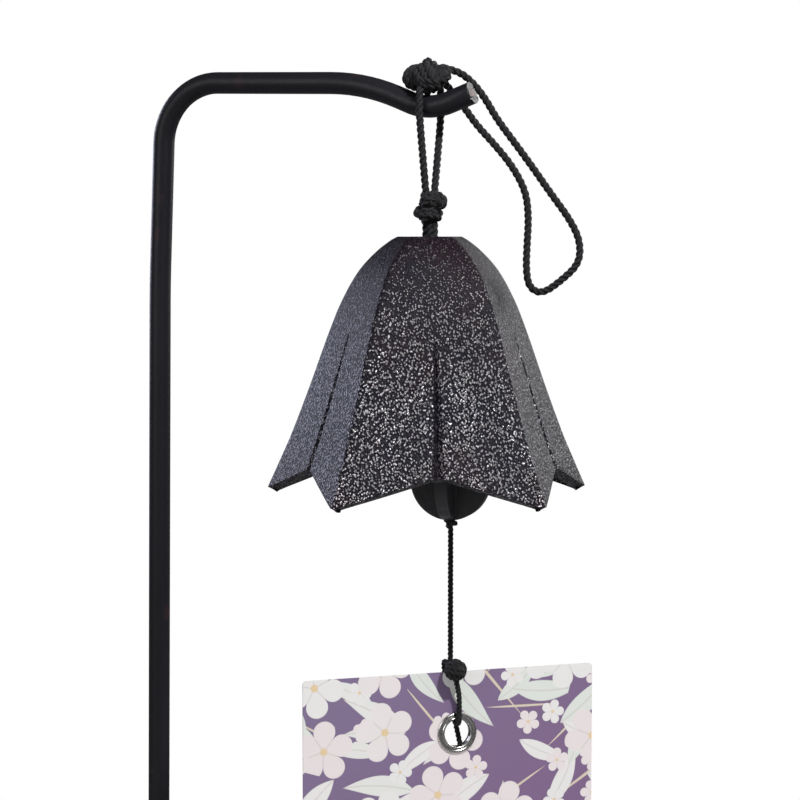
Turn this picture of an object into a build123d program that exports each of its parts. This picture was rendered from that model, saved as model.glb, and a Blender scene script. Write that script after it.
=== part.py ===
from build123d import *
import math
import os

os.makedirs("parts", exist_ok=True)

# All lengths are in millimetres. The stand's arm runs along +X from the post.

# Bell casting: a five-petalled flower hung mouth down
petals = 5
bell_height = 60.5
tip_radius = 40.8  # ridge radius at the petal tips
cap_corner_radius = 8.6
cap_thickness = 3.2
bell_wall = 2.7
bell_yaw = -26.3  # bearing of one ridge, degrees
notch_rise = 6.2  # how far the notches stand above the tips
tip_flat = 1.6  # blunt end of a petal, each side of its ridge
tip_round_rise = 0.8
groove_width = 3.2
groove_depth = 1.1
groove_start_share = 0.3  # of the groove's size at the rim
cap_hole_radius = 2.2

# The ridge line from the cap down to the tips: depth as a share of the bell's
# height, radius as a share of the tip radius
ridge_shares = (
    (0.053, 0.319),
    (0.133, 0.433),
    (0.252, 0.538),
    (0.385, 0.622),
    (0.600, 0.742),
    (0.790, 0.855),
    (0.900, 0.930),
    (1.000, 1.000),
)
groove_first_share = 3  # index in ridge_shares where the grooves begin

# Stand
base_radius = 60.0
base_thickness = 6.0
base_edge_round = 1.5
foot_thickness = 1.5
foot_inset = 2.0
rod_diameter = 5.3
rod_socket_depth = 3.0
post_inset = 11.0  # from the plate's edge to the post's centre
arm_reach = 77.5  # from the post's foot to the place where the cord hangs
post_bend_drop = 12.0  # under the bell's cap, where the post leans further in
post_bend_radius = 300.0
post_lean_low = 3.5  # the lean of the post below that bend
post_lean_high = 2.0
corner_bend_radius = 15.0
arm_lift = 6.0  # the arm's low end over the place where the cord hangs
arm_fall = 1.6  # from the corner down to the arm's low end
dip_start = 16.9
dip_bend_radius = 50.0
valley_offset = 0.2
valley_drop = 0.95
valley_bend_radius = 14.0
tip_reach = 10.8
tip_rise = 3.0
screw_diameter = 3.0
screw_length = 14.0
screw_head_diameter = 6.0
screw_head_height = 1.7
screw_clearance = 0.2

# Cord and string
cord_diameter = 1.65
string_diameter = 1.2
seat_gap = 0.3  # between a knot and what turns or rests on it
cord_tuck = 0.8  # how far a cord runs into its knot
strand_spread = 1.1  # each strand's offset along the arm
strand_high = 3.6
strand_low = 1.2
strand_rise = 19.3  # from the lower knot up to the arm's centre
strand_foot_spread = 0.9
strand_foot_depth = 0.4
neck_spread = 1.05  # from the middle strand of the neck to either side one
arc_room_share = 0.45  # of the shorter run, taken by the arc at each of its ends

# Knots: each is a core with turns of cord round it, tilted about X and Y in degrees
turn_sink_share = 0.04  # each further turn lies this much deeper in its knot
top_knot_tilts = ((35, 25), (-40, 10), (80, -30))
top_lobe_tilts = ((15, 65), (-20, 55))
lower_knot_tilts = ((-20, 30), (50, -25))
upper_lump_tilts = ((30, 35), (-35, -20))
stopper_tilts = ((30, 20), (-30, -25), (70, 30))
tie_tilts = ((25, 20), (-50, 10))
clapper_knot_tilts = ((20, 30), (-60, 0))
strip_knot_tilts = ((30, 15), (-35, 30), (80, -10))
top_knot_core = 3.1
top_knot_left_lobe = 2.3
top_knot_right_lobe = 2.0
lower_knot_core = 2.1
lower_knot_height = 8.5
lower_knot_bulge = 1.9
lower_knot_nub = 1.3
nub_seam_turn = 90.0  # keeps the nub's seam clear of the turns beside it
neck_length = 2.6
stopper_core = 3.2
string_turn_radius = 0.55
tie_core = 1.35
clapper_knot_core = 1.2
strip_knot_core = 2.05

# Clapper: two round plates crossed on a hub
clapper_radius = 9.5
clapper_plate = 3.0
clapper_hub_radius = 2.4
clapper_yaw = 9.0
clapper_hang = 47.6  # from the string's upper knot to the clapper's centre
clapper_offset = 5.4  # from the bell's axis, along the arm
clapper_bore_gap = 0.15
clapper_knot_recess = 1.2

# Paper strip and its eyelet
strip_width = 73.4
strip_side = 0.7  # from the string's line to the strip's middle, along its width
strip_length = 180.0
strip_thickness = 0.5
strip_corner_round = 1.0
strip_clearance = 24.0  # over the base plate
strip_yaw = 43.5
strip_setback = 2.0  # from the string's line back to the strip
strip_string_length = 30.6
strip_knot_overlap = 1.8  # the knot hangs this far below the strip's top edge
strip_knot_side = 0.9
eyelet_side = 2.3
eyelet_drop = 14.8
eyelet_hole_radius = 3.25
eyelet_flange_radius = 5.0
eyelet_sheet = 0.35
eyelet_bead_height = 0.85
eyelet_lip_radius = 4.5
washer_thickness = 0.3
paper_hole_gap = 0.1
loop_gap = 0.2

overrun = 2.0  # how far every cut passes the faces that it opens

# Places that follow from the sizes above
rod_radius = rod_diameter / 2
cord_radius = cord_diameter / 2
string_radius = string_diameter / 2
half_petal = math.pi / petals
base_top = foot_thickness + base_thickness
post_x = post_inset - base_radius
hang_x = post_x + arm_reach

knot_turn_radius = cord_radius
stopper_radius = stopper_core + knot_turn_radius
tie_radius = tie_core + string_turn_radius
clapper_knot_radius = clapper_knot_core + string_turn_radius
strip_knot_radius = strip_knot_core + string_turn_radius

# Heights below the bell's cap
stopper_top = -cap_thickness - seat_gap
stopper_z = stopper_top - stopper_core
tie_reach = stopper_radius + tie_radius + seat_gap
tie_z = stopper_z - math.sqrt(tie_reach**2 - clapper_offset**2)
clapper_z = tie_z - clapper_hang
clapper_bottom = clapper_z - clapper_radius
clapper_knot_z = clapper_bottom + clapper_knot_recess - clapper_knot_radius
strip_string_top = clapper_knot_z - clapper_knot_radius - seat_gap
strip_string_end = strip_string_top - strip_string_length
strip_knot_z = strip_string_end - seat_gap - strip_knot_radius
strip_top = strip_knot_z - strip_knot_radius + strip_knot_overlap
eyelet_z = strip_top - eyelet_drop

# Heights over the ground
cap_z = base_top + strip_clearance + strip_length - strip_top
neck_top = neck_length
lower_knot_z = neck_top + lower_knot_height / 2
hang_z = neck_top + lower_knot_height + strand_rise
arm_z = hang_z + arm_lift

# Everything that hangs is drawn about the bell's axis at the cap, then moved here
bell_place = Pos(hang_x, 0, cap_z)
clapper_place = bell_place * Pos(clapper_offset, 0, 0)
strip_place = clapper_place * Rot(0, 0, strip_yaw)

strand_side = rod_radius + seat_gap + cord_radius

# Places across the strip: +X along its width, -Y out of its printed face
strip_front = strip_setback - strip_thickness / 2
strip_back = strip_setback + strip_thickness / 2
loop_standoff = eyelet_bead_height + loop_gap + string_radius
loop_front = strip_front - loop_standoff
loop_back = strip_back + loop_standoff
loop_seat_z = eyelet_z + eyelet_hole_radius - string_radius - loop_gap / 2
strip_knot_front = strip_front - seat_gap - strip_knot_radius

# The spare loop of cord, from the top knot round behind the arm's tip and back,
# measured from the bell's axis at the cap
loop_route = (
    (2.4, 2.0, 39.5),
    (5.3, 3.7, 38.9),
    (8.3, 5.4, 36.4),
    (10.9, 7.1, 32.6),
    (13.3, 8.8, 27.6),
    (17.1, 11.0, 21.9),
    (20.6, 13.0, 16.5),
    (24.4, 15.4, 10.2),
    (28.5, 17.8, 3.9),
    (30.5, 19.3, -1.2),
    (30.3, 19.2, -6.4),
    (26.6, 17.6, -10.3),
    (22.3, 15.6, -13.7),
    (19.5, 14.2, -12.2),
    (18.8, 13.9, -7.9),
    (19.0, 14.0, -2.0),
    (19.5, 13.7, 4.8),
    (18.9, 13.3, 10.7),
    (16.1, 11.8, 16.6),
    (12.0, 10.2, 21.9),
    (8.1, 8.9, 26.3),
    (5.1, 7.8, 30.8),
    (2.3, 6.2, 34.8),
    (0.8, 3.0, 37.8),
)


def arc_radii(points):
    """The largest tangent arcs that the runs of a cord's route leave room for."""
    radii = []
    for before, here, after in zip(points, points[1:], points[2:]):
        arriving = Vector(*here) - Vector(*before)
        leaving = Vector(*after) - Vector(*here)
        half_turn = math.radians(arriving.get_angle(leaving)) / 2
        room = arc_room_share * min(arriving.length, leaving.length)
        radii.append(room / math.tan(half_turn))
    return radii


def tube(name, points, radius, radii=None):
    """A round cord along straight runs joined by tangent arcs."""
    radii = radii or arc_radii(points)
    path = FilletPolyline(*points, radius=radii)
    section = Plane(origin=path @ 0, z_dir=path % 0) * Circle(radius)
    solid = sweep(section, path=path)
    ideal = math.pi * radius**2 * path.length
    print(f"{name}: length {path.length:.1f}, arc radii", *(f"{r:.1f}" for r in radii))
    print(f"{name}: volume {solid.volume:.2f} against {ideal:.2f}")
    return solid


def wound_knot(core_radius, turn_radius, tilts):
    """A round knot: a tight core with turns of the cord lying half sunk in it."""
    knot = Sphere(core_radius)
    for layer, (about_x, about_y) in enumerate(tilts):
        turn = Torus(core_radius * (1 - turn_sink_share * layer), turn_radius)
        knot += Rot(about_x, about_y, 0) * turn
    return knot


def bell_outline(top_radius, bottom_radius, top, bottom):
    """Half section of one flat facet: everything inside the facet's own line."""
    flat_share = math.cos(half_petal)
    drop = top - bottom
    line = [(top_radius * flat_share, top)]
    for depth_share, radius_share in ridge_shares:
        line.append((bottom_radius * radius_share * flat_share, top - drop * depth_share))
    facet = Spline(*line)
    far = -2 * bottom_radius
    rest = Polyline(line[-1], (far, bottom), (far, top), line[0])
    return Plane.XZ * make_face(facet + rest)


def petal_body(top_radius, bottom_radius, top, bottom):
    """A five-sided bell-shaped block: one slab for each facet, all intersected."""
    outline = bell_outline(top_radius, bottom_radius, top, bottom)
    slab = extrude(outline, amount=2 * bottom_radius, both=True)
    body = None
    for petal in range(petals):
        turned = Rot(0, 0, math.degrees(half_petal) * (2 * petal + 1)) * slab
        body = turned if body is None else body & turned
    return body


def groove_cutter():
    """The crease down the middle of a facet, deepening to the rim."""
    flat_share = math.cos(half_petal)
    stations = ridge_shares[groove_first_share:]
    sections = []
    for step, (depth_share, radius_share) in enumerate(stations):
        grown = groove_start_share + (1 - groove_start_share) * step / (len(stations) - 1)
        depth = groove_depth * grown
        half_width = groove_width / 2 * grown * (depth + overrun) / depth
        surface = tip_radius * radius_share * flat_share
        corners = [
            (surface - depth, 0),
            (surface + overrun, half_width),
            (surface + overrun, -half_width),
        ]
        level = -bell_height * depth_share
        sections.append(Pos(0, 0, level) * make_face(Polyline(*corners, close=True)))
    return loft(sections) + extrude(sections[-1], amount=overrun, dir=(0, 0, -1))


def rim_cutter():
    """The notch between two petals, seen square to the facet and cut outwards."""
    tip_side = tip_radius * math.sin(half_petal)
    notch = (0, notch_rise - bell_height)
    shoulder = (tip_side - 2 * tip_flat, tip_round_rise - bell_height)
    toe = (tip_side - tip_flat / 2, -bell_height)
    below = -bell_height - overrun
    edge = Line(notch, shoulder)
    rounding = TangentArc(shoulder, toe, tangent=edge % 1)
    half = make_face(edge + rounding + Polyline(toe, (toe[0], below), (0, below), notch))
    outline = half + mirror(half, about=Plane.YZ)
    standing = Plane(origin=(0, 0, 0), x_dir=(0, 1, 0), z_dir=(1, 0, 0)) * outline
    return extrude(standing, amount=2 * tip_radius)


def make_bell():
    outer = petal_body(cap_corner_radius, tip_radius, 0, -bell_height)
    inner_tip_radius = tip_radius - bell_wall / math.cos(half_petal)
    inner_cap_radius = cap_corner_radius * inner_tip_radius / tip_radius
    hollow = petal_body(inner_cap_radius, inner_tip_radius, -cap_thickness, -bell_height)
    shell = outer - hollow
    shell -= Cylinder(cap_hole_radius, 2 * (cap_thickness + overrun))
    groove = groove_cutter()
    notch = rim_cutter()
    for petal in range(petals):
        turn = Rot(0, 0, math.degrees(half_petal) * (2 * petal + 1))
        shell -= turn * groove
        shell -= turn * notch
    return bell_place * Rot(0, 0, bell_yaw) * shell


def make_stand_rod():
    """One bent rod: the post, the arm, its dip for the cord and the raised tip."""
    foot = base_top - rod_socket_depth
    post_bend_x = post_x + post_lean_low
    valley = cap_z + hang_z - valley_drop
    path = FilletPolyline(
        (post_x, 0, foot),
        (post_bend_x, 0, cap_z - post_bend_drop),
        (post_bend_x + post_lean_high, 0, cap_z + arm_z + arm_fall),
        (hang_x - dip_start, 0, cap_z + arm_z),
        (hang_x - valley_offset, 0, valley),
        (hang_x + tip_reach, 0, cap_z + hang_z + tip_rise),
        radius=[post_bend_radius, corner_bend_radius, dip_bend_radius, valley_bend_radius],
    )
    rod = sweep(Pos(post_x, 0, foot) * Circle(rod_radius), path=path)
    thread_depth = screw_length - base_thickness + rod_socket_depth + screw_clearance
    thread = Cylinder(
        (screw_diameter + screw_clearance / 2) / 2,
        thread_depth,
        align=(Align.CENTER, Align.CENTER, Align.MIN),
    )
    return rod - Pos(post_x, 0, foot) * thread


def make_base_plate():
    plate = Pos(0, 0, foot_thickness + base_thickness / 2) * Cylinder(base_radius, base_thickness)
    plate = fillet(plate.edges().group_by(Axis.Z)[-1], base_edge_round)
    socket_place = Pos(post_x, 0, base_top - rod_socket_depth)
    socket_size = rod_radius + screw_clearance / 2
    up = (Align.CENTER, Align.CENTER, Align.MIN)
    plate -= socket_place * Cylinder(socket_size, rod_socket_depth + overrun, align=up)
    hole_place = Pos(post_x, 0, foot_thickness)
    hole_radius = screw_diameter / 2 + screw_clearance
    plate -= hole_place * Cylinder(hole_radius, base_thickness, align=up)
    recess_radius = screw_head_diameter / 2 + screw_clearance
    recess_height = screw_head_height + screw_clearance
    plate -= hole_place * Cylinder(recess_radius, recess_height, align=up)
    return plate


def make_base_foot():
    place = Pos(0, 0, foot_thickness / 2)
    return place * Cylinder(base_radius - foot_inset, foot_thickness)


def make_base_screw():
    """A low-headed screw, up through the plate into the post, with a driver slot."""
    up = (Align.CENTER, Align.CENTER, Align.MIN)
    head_z = foot_thickness + screw_clearance
    screw = Cylinder(screw_head_diameter / 2, screw_head_height, align=up)
    slot_width = screw_diameter / 4
    slot_depth = screw_head_height / 2
    screw -= Pos(0, 0, slot_depth / 2) * Box(screw_head_diameter, slot_width, slot_depth)
    shank = Cylinder(screw_diameter / 2, screw_length - screw_head_height, align=up)
    screw += Pos(0, 0, screw_head_height) * shank
    return Pos(post_x, 0, head_z) * screw


def make_top_knot():
    """The large knot that sits on the arm, with a lobe and its turn at either end."""
    centre_z = hang_z + rod_radius + seat_gap + top_knot_core + knot_turn_radius
    knot = wound_knot(top_knot_core, knot_turn_radius, top_knot_tilts)
    left = Pos(-top_knot_core - knot_turn_radius, 0, -knot_turn_radius / 4)
    right = Pos(top_knot_core - knot_turn_radius / 2, knot_turn_radius / 2, knot_turn_radius / 2)
    lobes = ((left, top_knot_left_lobe), (right, top_knot_right_lobe))
    for (place, lobe), tilt in zip(lobes, top_lobe_tilts):
        knot += place * Sphere(lobe)
        knot += place * Rot(*tilt, 0) * Torus(lobe * 3 / 4, knot_turn_radius)
    return bell_place * Pos(0, 0, centre_z) * knot


def make_lower_knot():
    """The knot over the bell: two wound lumps, a high bulge and a low nub."""
    reach = lower_knot_core + knot_turn_radius
    high = neck_top + lower_knot_height - reach
    low = neck_top + reach - knot_turn_radius / 2
    low_core = lower_knot_core * (1 - turn_sink_share)
    knot = Pos(0, 0, low) * wound_knot(low_core, knot_turn_radius, lower_knot_tilts)
    knot += Pos(0, 0, high) * wound_knot(lower_knot_core, knot_turn_radius, upper_lump_tilts)
    bulge = Pos(lower_knot_core + knot_turn_radius / 2, -knot_turn_radius / 2, high)
    nub = Pos(-reach, -knot_turn_radius / 2, low + knot_turn_radius / 2)
    knot += bulge * Sphere(lower_knot_bulge)
    knot += nub * Rot(0, 0, nub_seam_turn) * Sphere(lower_knot_nub)
    keep = Box(4 * lower_knot_height, 4 * lower_knot_height, lower_knot_height)
    return bell_place * (knot & Pos(0, 0, lower_knot_z) * keep)


def make_strand(side):
    """One of the two taut strands: side is -1 in front of the arm, +1 behind it."""
    across = side * strand_side
    along = side * strand_spread
    foot_z = neck_top + lower_knot_height - cord_tuck
    points = [
        (along, side * rod_radius, hang_z + strand_high + cord_diameter),
        (along, across, hang_z + strand_high),
        (along, across, hang_z - strand_low),
        (side * strand_foot_spread, side * strand_foot_depth, foot_z),
    ]
    radii = arc_radii(points)
    return bell_place * tube("strand", points, cord_radius, radii)


def make_neck_cord():
    """The cord through the hole in the bell's cap: three strands side by side."""
    top = neck_top - seat_gap
    bottom = stopper_top - cord_tuck
    strand = Pos(0, 0, (top + bottom) / 2) * Cylinder(cord_radius, top - bottom)
    bundle = strand
    for side in (-1, 1):
        bundle += Pos(side * neck_spread, 0, 0) * strand
    print(f"neck_cord: length {top - bottom:.1f}")
    return bell_place * bundle


def make_stopper_knot():
    """The knot inside the bell, flattened where it bears on the cap."""
    knot = Pos(0, 0, stopper_z) * wound_knot(stopper_core, knot_turn_radius, stopper_tilts)
    size = 4 * stopper_radius
    keep = Pos(0, 0, stopper_top - size / 2) * Box(size, size, size)
    return bell_place * (knot & keep)


def make_string_tie():
    knot = wound_knot(tie_core, string_turn_radius, tie_tilts)
    return clapper_place * Pos(0, 0, tie_z) * knot


def make_clapper_string():
    """From the tie down through the clapper's bore to its knot."""
    top = tie_z - tie_radius - seat_gap
    bottom = clapper_knot_z + clapper_knot_core - string_radius
    string = Pos(0, 0, (top + bottom) / 2) * Cylinder(string_radius, top - bottom)
    print(f"clapper_string: length {top - bottom:.1f}")
    return clapper_place * string


def make_clapper():
    """Two upright plates crossed on a hub, all turned down to one ball outline."""
    height = 2 * (clapper_radius + overrun)
    clapper = Box(height, clapper_plate, height) + Box(clapper_plate, height, height)
    clapper += Cylinder(clapper_hub_radius, height)
    clapper &= Sphere(clapper_radius)
    clapper -= Cylinder(string_radius + clapper_bore_gap, height)
    seat_radius = clapper_knot_radius + clapper_bore_gap
    clapper -= Pos(0, 0, clapper_knot_z - clapper_z) * Sphere(seat_radius)
    return clapper_place * Pos(0, 0, clapper_z) * Rot(0, 0, clapper_yaw) * clapper


def make_clapper_knot():
    knot = wound_knot(clapper_knot_core, string_turn_radius, clapper_knot_tilts)
    return clapper_place * Pos(0, 0, clapper_knot_z) * knot


def make_strip_string():
    middle = (strip_string_top + strip_string_end) / 2
    print(f"strip_string: length {strip_string_length:.1f}")
    return clapper_place * Pos(0, 0, middle) * Cylinder(string_radius, strip_string_length)


def make_strip_knot():
    """The knot at the strip's top edge, with the string's stub that it is tied on."""
    knot = wound_knot(strip_knot_core, string_turn_radius, strip_knot_tilts)
    knot = Pos(strip_knot_side, strip_knot_front, strip_knot_z) * knot
    stub_top = strip_string_end - seat_gap
    stub = Cylinder(string_radius, stub_top - strip_knot_z)
    knot += Pos(0, 0, (stub_top + strip_knot_z) / 2) * stub
    return strip_place * knot


def make_strip_loop():
    """Down the face of the strip, through the eyelet and up behind it to the knot."""
    over = strip_top + seat_gap + string_diameter
    bend = string_diameter
    points = [
        (strip_knot_side, strip_knot_front, strip_knot_z - strip_knot_core),
        (eyelet_side, loop_front, strip_knot_z - 2 * strip_knot_radius),
        (eyelet_side, loop_front, loop_seat_z),
        (eyelet_side, loop_back, loop_seat_z),
        (eyelet_side, loop_back, over),
        (strip_knot_side, strip_knot_front + strip_knot_core, over + string_radius),
    ]
    radii = [bend] * (len(points) - 2)
    radii[0] = 4 * bend
    return strip_place * tube("strip_loop", points, string_radius, radii)


def make_paper_strip():
    middle = Pos(strip_side, strip_setback, strip_top - strip_length / 2)
    sheet = Box(strip_width, strip_thickness, strip_length)
    sheet = fillet(sheet.edges().filter_by(Axis.Y), strip_corner_round)
    hole_radius = eyelet_hole_radius + eyelet_sheet + paper_hole_gap
    hole = Rot(90, 0, 0) * Cylinder(hole_radius, strip_thickness + 2 * overrun)
    sheet = middle * sheet - Pos(eyelet_side, strip_setback, eyelet_z) * hole
    return strip_place * sheet


def make_eyelet():
    """A rolled ring: domed bead in front, barrel through the paper, curled lip behind."""
    front = strip_thickness / 2
    back = -front - washer_thickness
    barrel = eyelet_hole_radius + eyelet_sheet
    crown = (eyelet_hole_radius + eyelet_flange_radius) / 2
    dome = ThreePointArc(
        (eyelet_hole_radius, front),
        (crown, front + eyelet_bead_height),
        (eyelet_flange_radius, front),
    )
    lip_crown = (eyelet_hole_radius + eyelet_lip_radius) / 2
    lip = ThreePointArc(
        (eyelet_lip_radius, back),
        (lip_crown, back - (eyelet_bead_height - washer_thickness)),
        (eyelet_hole_radius, back),
    )
    face = make_face(
        dome
        + Polyline((eyelet_flange_radius, front), (barrel, front), (barrel, back),
                   (eyelet_lip_radius, back))
        + lip
        + Line((eyelet_hole_radius, back), (eyelet_hole_radius, front))
    )
    ring = revolve(face, Axis.Y)
    return strip_place * Pos(eyelet_side, strip_setback, eyelet_z) * Rot(180, 0, 0) * ring


def make_eyelet_washer():
    inner = eyelet_hole_radius + eyelet_sheet + paper_hole_gap
    ring = Cylinder(eyelet_flange_radius, washer_thickness)
    ring -= Cylinder(inner, washer_thickness + overrun)
    behind = strip_back + washer_thickness / 2
    return strip_place * Pos(eyelet_side, behind, eyelet_z) * Rot(90, 0, 0) * ring


def make_string_tail():
    """The cut end of the string, hanging behind the strip and past its eyelet."""
    behind = loop_back + string_diameter + loop_gap
    points = [
        (strip_knot_side - string_diameter, strip_knot_front + strip_knot_core,
         strip_top + 2 * string_diameter),
        (eyelet_side - string_diameter, behind, strip_top + 2 * string_diameter),
        (eyelet_side + string_radius, behind, eyelet_z + eyelet_hole_radius),
        (eyelet_side + 2 * string_diameter, behind, eyelet_z - eyelet_flange_radius),
    ]
    radii = [string_diameter, eyelet_drop]
    return strip_place * tube("string_tail", points, string_radius, radii)


parts = {
    "base_foot": make_base_foot(),
    "base_plate": make_base_plate(),
    "base_screw": make_base_screw(),
    "stand_rod": make_stand_rod(),
    "top_knot": make_top_knot(),
    "free_loop": bell_place * tube("free_loop", loop_route, cord_radius),
    "front_strand": make_strand(-1),
    "back_strand": make_strand(1),
    "lower_knot": make_lower_knot(),
    "neck_cord": make_neck_cord(),
    "stopper_knot": make_stopper_knot(),
    "bell": make_bell(),
    "string_tie": make_string_tie(),
    "clapper_string": make_clapper_string(),
    "clapper": make_clapper(),
    "clapper_knot": make_clapper_knot(),
    "strip_string": make_strip_string(),
    "strip_knot": make_strip_knot(),
    "strip_loop": make_strip_loop(),
    "string_tail": make_string_tail(),
    "paper_strip": make_paper_strip(),
    "eyelet": make_eyelet(),
    "eyelet_washer": make_eyelet_washer(),
}

for name, solid in parts.items():
    export_step(solid, os.path.join("parts", f"{name}.step"))
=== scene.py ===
import math
from contextlib import contextmanager

import bmesh
import bpy
from mathutils import Matrix, Vector


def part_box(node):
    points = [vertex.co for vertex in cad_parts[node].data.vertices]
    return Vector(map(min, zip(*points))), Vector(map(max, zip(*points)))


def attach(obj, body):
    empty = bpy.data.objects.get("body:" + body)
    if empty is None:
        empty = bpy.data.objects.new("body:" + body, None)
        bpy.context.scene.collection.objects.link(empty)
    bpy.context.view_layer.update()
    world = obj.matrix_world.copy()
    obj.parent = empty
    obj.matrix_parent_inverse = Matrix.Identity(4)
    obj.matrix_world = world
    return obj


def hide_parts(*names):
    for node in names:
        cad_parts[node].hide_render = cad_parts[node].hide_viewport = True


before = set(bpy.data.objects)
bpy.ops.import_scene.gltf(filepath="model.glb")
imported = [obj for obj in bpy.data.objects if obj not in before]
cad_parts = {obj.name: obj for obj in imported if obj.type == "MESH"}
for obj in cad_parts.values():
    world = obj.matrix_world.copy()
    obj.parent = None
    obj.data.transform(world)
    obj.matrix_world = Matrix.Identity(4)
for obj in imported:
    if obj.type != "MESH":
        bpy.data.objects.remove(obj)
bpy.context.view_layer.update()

mm = 0.001

# Places read from the frame
_, bell_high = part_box("bell")
neck_low, neck_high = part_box("neck_cord")
string_low, string_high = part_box("strip_string")
cap_z = bell_high.z
hang_x = (neck_low.x + neck_high.x) / 2
hang_point = Vector((hang_x, 0, cap_z))
string_x = (string_low.x + string_high.x) / 2
string_point = Vector((string_x, 0, cap_z))
strip_yaw = math.radians(43.5)

merge_distance = 0.01 * mm  # corners of one mesh that are nearer than this are one corner
cord_diameter = 1.65 * mm
string_diameter = 1.2 * mm

# Strip and eyelet, in mm, in the strip's own directions
strip_left = -36.0
strip_right = 37.4
strip_top = -103.797
strip_length = 180.0
strip_bottom = strip_top - strip_length
strip_front = 1.75
strip_back = 2.25
strip_middle = (strip_front + strip_back) / 2
eyelet_side = 2.3
eyelet_z = strip_top - 14.8


# Camera, light and floor

def make_camera():
    """A long lens level with the bell's cap, a little right of the stand's front, looking down."""
    distance = 532 * mm
    aside = 7.1 * mm
    azimuth = math.radians(25)
    pitch = math.radians(4.156)
    ahead = Vector((-math.sin(azimuth), math.cos(azimuth), 0))
    right = Vector((math.cos(azimuth), math.sin(azimuth), 0))
    bpy.ops.object.camera_add(location=hang_point - right * aside - ahead * distance)
    camera = bpy.context.object
    camera.name = "camera"
    camera.rotation_euler = (math.pi / 2 - pitch, 0, azimuth)
    camera.data.lens = 101.25
    camera.data.sensor_width = 36
    camera.data.clip_start = 10 * mm
    bpy.context.scene.camera = camera


def make_area_lamp(name, place, size, power, colour=(1, 1, 1)):
    """A rectangular soft box that faces the bell."""
    aim_below_cap = 40 * mm
    target = hang_point - Vector((0, 0, aim_below_cap))
    bpy.ops.object.light_add(type="AREA", location=place)
    lamp = bpy.context.object
    lamp.name = name
    lamp.data.shape = "RECTANGLE"
    lamp.data.size, lamp.data.size_y = size
    lamp.data.energy = power
    lamp.data.color = colour
    lamp.rotation_euler = (target - Vector(place)).to_track_quat("-Z", "Y").to_euler()


def make_lamps():
    """Two soft boxes behind the bell for the sheen on its side facets, and two lamps in front."""
    make_area_lamp("left_box", (-0.72, 0.28, 0.42), (0.36, 0.30), 2.0, (0.76, 0.79, 1))
    make_area_lamp("right_box", (0.30, 0.74, 0.62), (0.45, 0.55), 3.9)
    make_area_lamp("front_box", (-0.35, -0.75, 0.55), (0.5, 0.5), 2.0)
    make_area_lamp("glint_lamp", (0.50, -0.30, 0.86), (0.04, 0.04), 9.0)


# Shader helpers

class Tree:
    """Short calls for the nodes of one material, world or group."""

    def __init__(self, tree):
        self.nodes = tree.nodes
        self.links = tree.links

    def feed(self, socket, value):
        if isinstance(value, bpy.types.NodeSocket):
            self.links.new(value, socket)
        elif isinstance(value, tuple) and len(value) == 3 and socket.type == "RGBA":
            socket.default_value = (*value, 1)
        else:
            socket.default_value = value

    def node(self, kind, given=(), **settings):
        """A new node with its settings made and its inputs fed, in order or by their names."""
        node = self.nodes.new("ShaderNode" + kind)
        for name, value in settings.items():
            setattr(node, name, value)
        for key, value in given.items() if isinstance(given, dict) else enumerate(given):
            self.feed(node.inputs[key], value)
        return node

    def math(self, operation, *values):
        return self.node("Math", values, operation=operation).outputs[0]

    def length(self, vector):
        return self.node("VectorMath", (vector,), operation="LENGTH").outputs["Value"]

    def ramp(self, value, low, high, to_low=0.0, to_high=1.0, smooth=False):
        given = (value, low, high, to_low, to_high)
        kind = "SMOOTHSTEP" if smooth else "LINEAR"
        return self.node("MapRange", given, interpolation_type=kind).outputs["Result"]

    def mix(self, factor, first, second):
        node = self.node("Mix", (factor,), data_type="RGBA")
        colours = [socket for socket in node.inputs if socket.type == "RGBA"]
        self.feed(colours[0], first)
        self.feed(colours[1], second)
        return [socket for socket in node.outputs if socket.type == "RGBA"][0]

    def noise(self, vector, scale, detail=2.0, roughness=0.5):
        given = {"Vector": vector, "Scale": scale, "Detail": detail, "Roughness": roughness}
        return self.node("TexNoise", given).outputs["Fac"]

    def cells(self, vector, scale):
        return self.node("TexVoronoi", {"Vector": vector, "Scale": scale}).outputs["Distance"]

    def bump(self, height, strength, distance):
        given = {"Height": height, "Strength": strength, "Distance": distance}
        return self.node("Bump", given).outputs["Normal"]

    def split(self, vector):
        return self.node("SeparateXYZ", (vector,)).outputs

    def join(self, x, y, z=0.0):
        return self.node("CombineXYZ", (x, y, z)).outputs[0]

    def mapping(self, vector, place=(0, 0, 0), turn=(0, 0, 0), scale=(1, 1, 1), kind="POINT"):
        given = {"Vector": vector, "Location": place, "Rotation": turn, "Scale": scale}
        return self.node("Mapping", given, vector_type=kind).outputs[0]

    def surface_place(self):
        return self.node("TexCoord").outputs["Object"]

    def map_place(self):
        return self.node("TexCoord").outputs["UV"]

    def group(self, tree, **given):
        return self.node("Group", given, node_tree=tree).outputs


def new_group(name, inputs, outputs):
    """An empty shader group: its inputs as (name, kind, value), its outputs as names of floats."""
    group = bpy.data.node_groups.new(name, "ShaderNodeTree")
    for label, kind, value in inputs:
        socket = group.interface.new_socket(
            label, in_out="INPUT", socket_type=f"NodeSocket{kind}"
        )
        if value is not None:
            socket.default_value = value
    for label in outputs:
        group.interface.new_socket(label, in_out="OUTPUT", socket_type="NodeSocketFloat")
    tree = Tree(group)
    given = tree.nodes.new("NodeGroupInput").outputs
    made = tree.nodes.new("NodeGroupOutput").inputs
    return group, tree, given, made


def new_material(name, **constants):
    """A material with one Principled shader, whose fixed values are set on its own sockets."""
    material = bpy.data.materials.new(name)
    material.use_nodes = True
    shader = material.node_tree.nodes["Principled BSDF"]
    for label, value in constants.items():
        socket = shader.inputs[label.replace("_", " ")]
        socket.default_value = (*value, 1) if isinstance(value, tuple) else value
    return material, Tree(material.node_tree), shader.inputs


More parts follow.
